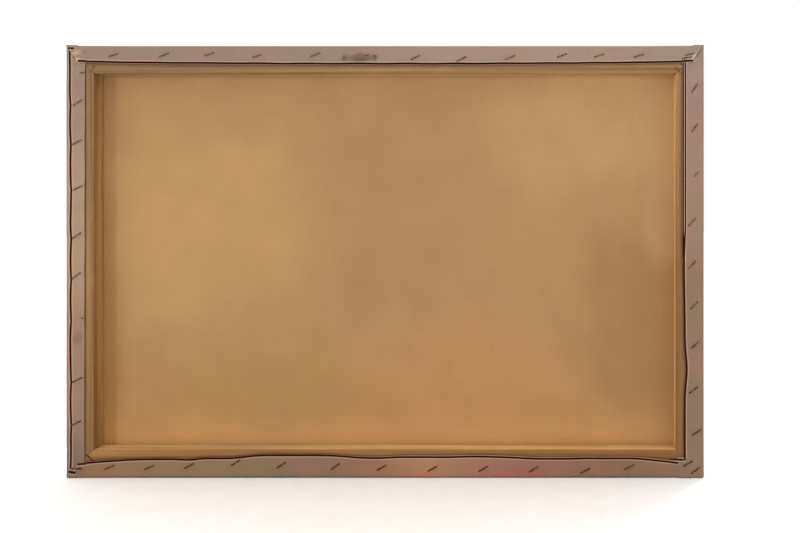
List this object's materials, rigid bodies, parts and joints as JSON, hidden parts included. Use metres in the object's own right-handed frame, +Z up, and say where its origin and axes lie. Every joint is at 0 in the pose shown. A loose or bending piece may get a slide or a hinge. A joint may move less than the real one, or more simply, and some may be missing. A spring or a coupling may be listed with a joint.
{
  "type": "stretched canvas",
  "caption": "Landscape stretched canvas: painted sheet wrapped round a mitred pine stretcher frame, folded on to its back and held by slanted staples.",
  "frame": {"origin": "middle of the bottom edge, halfway through the depth, on the surface that the upright canvas stands on", "axes": "+Z up, -Y out of the painted face, +Y out of the stapled back, +X to the right as seen from the painted face; left and right in the node names are as seen from the painted face"},
  "size_m": [0.6, 0.02, 0.406],
  "materials": {
    "pine": "sawn and planed softwood, uncoated, aged to honey brown",
    "canvas_cloth": "plain-weave cotton, primed and painted outside in muted taupe, raw and tan inside",
    "staple_steel": "flat steel wire, dull, darkened by age"
  },
  "bodies": {
    "root": {"bottom_bar": "pine", "bottom_left_corner_staple_1": "staple_steel", "bottom_left_corner_staple_2": "staple_steel", "bottom_left_mitre_staple_1": "staple_steel", "bottom_right_corner_staple_1": "staple_steel", "bottom_right_mitre_staple_1": "staple_steel", "bottom_staple_1": "staple_steel", "bottom_staple_10": "staple_steel", "bottom_staple_11": "staple_steel", "bottom_staple_12": "staple_steel", "bottom_staple_2": "staple_steel", "bottom_staple_3": "staple_steel", "bottom_staple_4": "staple_steel", "bottom_staple_5": "staple_steel", "bottom_staple_6": "staple_steel", "bottom_staple_7": "staple_steel", "bottom_staple_8": "staple_steel", "bottom_staple_9": "staple_steel", "canvas": "canvas_cloth", "left_bar": "pine", "left_staple_1": "staple_steel", "left_staple_2": "staple_steel", "left_staple_3": "staple_steel", "left_staple_4": "staple_steel", "left_staple_5": "staple_steel", "left_staple_6": "staple_steel", "left_staple_7": "staple_steel", "left_staple_8": "staple_steel", "left_staple_9": "staple_steel", "right_bar": "pine", "right_staple_1": "staple_steel", "right_staple_2": "staple_steel", "right_staple_3": "staple_steel", "right_staple_4": "staple_steel", "right_staple_5": "staple_steel", "right_staple_6": "staple_steel", "right_staple_7": "staple_steel", "right_staple_8": "staple_steel", "top_bar": "pine", "top_left_corner_staple_1": "staple_steel", "top_left_corner_staple_2": "staple_steel", "top_left_mitre_staple_1": "staple_steel", "top_left_mitre_staple_2": "staple_steel", "top_right_corner_staple_1": "staple_steel", "top_right_corner_staple_2": "staple_steel", "top_right_mitre_staple_1": "staple_steel", "top_staple_1": "staple_steel", "top_staple_10": "staple_steel", "top_staple_11": "staple_steel", "top_staple_12": "staple_steel", "top_staple_2": "staple_steel", "top_staple_3": "staple_steel", "top_staple_4": "staple_steel", "top_staple_5": "staple_steel", "top_staple_6": "staple_steel", "top_staple_7": "staple_steel", "top_staple_8": "staple_steel", "top_staple_9": "staple_steel"}
  },
  "joints": []
}
